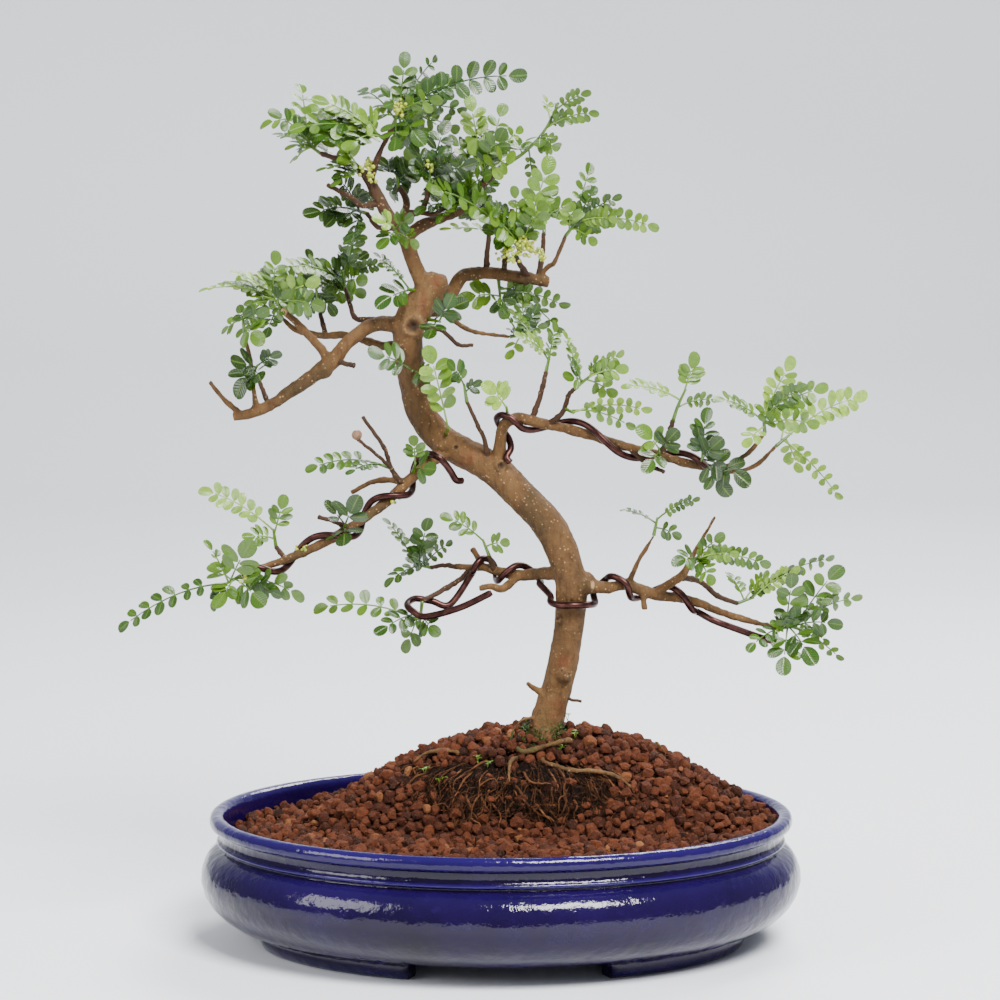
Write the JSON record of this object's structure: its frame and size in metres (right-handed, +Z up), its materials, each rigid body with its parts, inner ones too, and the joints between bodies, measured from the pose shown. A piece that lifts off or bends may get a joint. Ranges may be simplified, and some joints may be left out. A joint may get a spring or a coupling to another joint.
{
  "type": "japanese pepper bonsai",
  "caption": "Wired bonsai tree with feathered glossy leaves, rising from a bared root ball in a granule mound in an oval blue glazed pot on low feet",
  "frame": {"origin": "centre of the bounding box's footprint, on the surface the pot stands on", "axes": "+Z up along the trunk's rise, -Y towards the front of the pot, +X to the viewer's right"},
  "size_m": [0.3196, 0.202, 0.3816],
  "materials": {
    "bark": "rough grey-brown bark",
    "glaze": "deep blue high-gloss glaze",
    "granules": "rough baked-clay granules",
    "husk": "dry brown husk",
    "leaf_mature": "glossy dark green leaves",
    "root_mass": "dark fibrous root mat",
    "screen": "black plastic mesh",
    "wire": "copper-brown anodised, softly glossy"
  },
  "bodies": {
    "root": {"pot": "glaze", "drain_screen_left": "screen", "drain_screen_right": "screen", "soil_granules": "granules", "root_ball": "root_mass", "tree": "bark", "wire_lower": "wire", "wire_left": "wire", "wire_right": "wire", "leaves_crown_top": "leaf_mature", "leaves_crown_left": "leaf_mature", "leaves_left_twig": "leaf_mature", "leaves_left_middle": "leaf_mature", "leaves_dark_row": "leaf_mature", "leaves_grey_top": "leaf_mature", "leaves_grey_side": "leaf_mature", "leaves_fork_middle": "leaf_mature", "leaves_fork_upright": "leaf_mature", "leaves_fork_end": "leaf_mature", "leaves_fork_base": "leaf_mature", "leaves_bright_upright": "leaf_mature", "leaves_right_long": "leaf_mature", "leaves_right_back": "leaf_mature", "leaves_right_low": "leaf_mature", "leaves_right_under": "leaf_mature", "leaves_back_right": "leaf_mature", "leaves_trunk_right": "leaf_mature", "leaves_trunk_long": "leaf_mature", "leaves_trunk_twig": "leaf_mature", "leaves_trunk_left": "leaf_mature", "leaves_trunk_shoulder": "leaf_mature", "leaves_left_cluster": "leaf_mature", "leaves_left_cluster_back": "leaf_mature", "leaves_left_stub": "leaf_mature", "leaves_back_left_tip": "leaf_mature", "leaves_left_upright": "leaf_mature", "leaves_left_upright_low": "leaf_mature", "leaves_right_twig": "leaf_mature", "leaves_right_twig_low": "leaf_mature", "leaves_right_side": "leaf_mature", "leaves_right_bend": "leaf_mature", "leaves_right_bright": "leaf_mature", "leaves_right_olive": "leaf_mature", "leaves_right_dark": "leaf_mature", "leaves_right_end_up": "leaf_mature", "leaves_right_end_low": "leaf_mature", "leaves_middle_left_base": "leaf_mature", "leaves_middle_left_pale": "leaf_mature", "leaves_middle_left_dark": "leaf_mature", "leaves_middle_left_up": "leaf_mature", "leaves_middle_left_tip": "leaf_mature", "leaves_lower_left_up": "leaf_mature", "leaves_lower_left_end": "leaf_mature", "leaves_lower_left_low": "leaf_mature", "leaves_lower_right_up": "leaf_mature", "leaves_lower_right_fork": "leaf_mature", "leaves_lower_right_back": "leaf_mature", "leaves_lower_right_tip": "leaf_mature", "berry_husk": "husk"}
  },
  "joints": []
}
